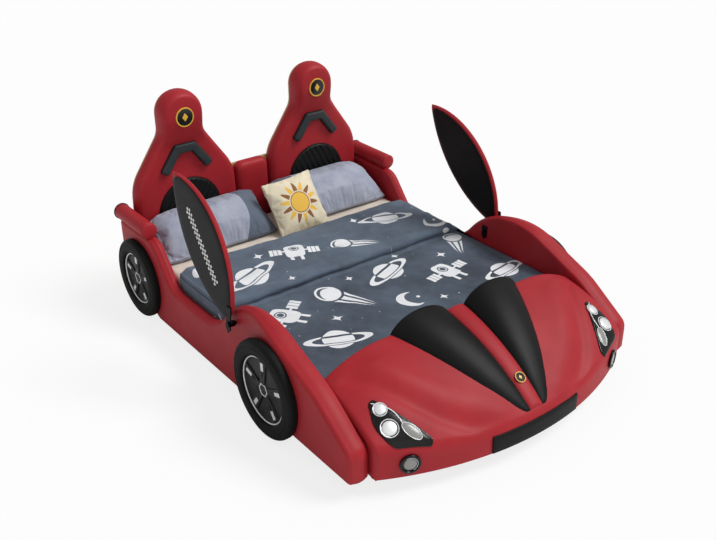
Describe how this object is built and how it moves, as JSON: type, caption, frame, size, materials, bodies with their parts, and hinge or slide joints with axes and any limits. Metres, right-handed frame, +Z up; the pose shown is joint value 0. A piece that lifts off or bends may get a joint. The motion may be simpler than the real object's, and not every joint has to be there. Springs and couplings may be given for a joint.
{
  "type": "car bed for children",
  "caption": "Upholstered sports-car-shaped bed for children, with padded side panels, seat-shaped headboard, bonnet with lamps, lifting door panels, mattress and bedding.",
  "frame": {"origin": "on the floor, at the middle of the bed's bounding box", "axes": "+X across the bed to the right-hand side panel of someone looking from nose to headboard, +Y lengthwise from the nose to the headboard, +Z up"},
  "size_m": [1.8438, 2.391, 1.153],
  "materials": {
    "red_leather": "soft upholstery leather",
    "black_leather": "soft upholstery leather, black",
    "ribbed_black_leather": "sewn in slanted channels",
    "charcoal_leather": "soft upholstery leather, charcoal",
    "black_plastic": "gloss black",
    "lamp_black": "gloss black with a grey face",
    "lamp_lens": "grey lens",
    "badge_plastic": "gloss black with a yellow rim",
    "chrome": "polished",
    "black_metal": "satin black",
    "steel": "zinc plated",
    "plywood": "sanded edge, face painted dark",
    "timber": "planed pine or beech",
    "sheet_cloth": "cream cotton",
    "duvet_cloth": "slate blue cotton with a pale print",
    "pillow_cloth": "pale grey-blue cotton",
    "cushion_cloth": "cream cotton with a yellow print"
  },
  "bodies": {
    "bed": {"side_panel_right": "red_leather", "side_panel_left": "red_leather", "fender_pad_right": "red_leather", "fender_pad_left": "red_leather", "armrest_roll_right": "red_leather", "armrest_roll_left": "red_leather", "tyre_front_right": "black_leather", "tyre_front_left": "black_leather", "tyre_rear_right": "black_leather", "tyre_rear_left": "black_leather", "wheel_cover_front_right": "black_plastic", "wheel_cover_front_left": "black_plastic", "wheel_cover_rear_right": "black_plastic", "wheel_cover_rear_left": "black_plastic", "seat_pad_right": "red_leather", "seat_pad_left": "red_leather", "seat_insert_right": "ribbed_black_leather", "seat_insert_left": "ribbed_black_leather", "seat_chevron_right": "charcoal_leather", "seat_chevron_left": "charcoal_leather", "seat_badge_right": "badge_plastic", "seat_badge_left": "badge_plastic", "bonnet_wedge_right": "black_leather", "bonnet_wedge_left": "black_leather", "headlamp_pod_right": "black_plastic", "headlamp_pod_left": "black_plastic", "headlamp_reflectors_right": "chrome", "headlamp_reflectors_left": "chrome", "fog_lamp_right": "lamp_black", "fog_lamp_left": "lamp_black", "door_pivot_pin_right": "steel", "door_pivot_pin_left": "steel", "pillow_right": "pillow_cloth", "pillow_left": "pillow_cloth", "roll_end_caps": "red_leather", "wheel_trim_rings": "chrome", "headboard_board": "plywood", "bridge_pad": "red_leather", "bonnet_shell": "red_leather", "bonnet_ridge": "red_leather", "bonnet_badge": "badge_plastic", "bumper_band": "black_leather", "headlamp_lenses": "lamp_lens", "door_backplates": "black_metal", "front_board": "plywood", "side_ledges": "timber", "centre_beam": "timber", "slats": "timber", "legs": "timber", "corner_brackets": "steel", "bracket_bolts": "steel", "mattress": "sheet_cloth", "duvet": "duvet_cloth", "cushion": "cushion_cloth"},
    "door_right": {"door_core_right": "red_leather", "door_pads_right": "black_leather", "door_hinge_strap_right": "black_metal"},
    "door_left": {"door_core_left": "red_leather", "door_pads_left": "black_leather", "door_hinge_strap_left": "black_metal"}
  },
  "joints": [
    {"name": "door_right_hinge", "type": "hinge", "parent": "bed", "child": "door_right", "pos_m": [0.829, -0.0445, 0.413], "axis": [-0.995, 0.0347, -0.0941], "range_deg": [0, 42]},
    {"name": "door_left_hinge", "type": "hinge", "parent": "bed", "child": "door_left", "pos_m": [-0.829, -0.0445, 0.413], "axis": [-0.995, -0.0347, 0.0941], "range_deg": [0, 42]}
  ]
}
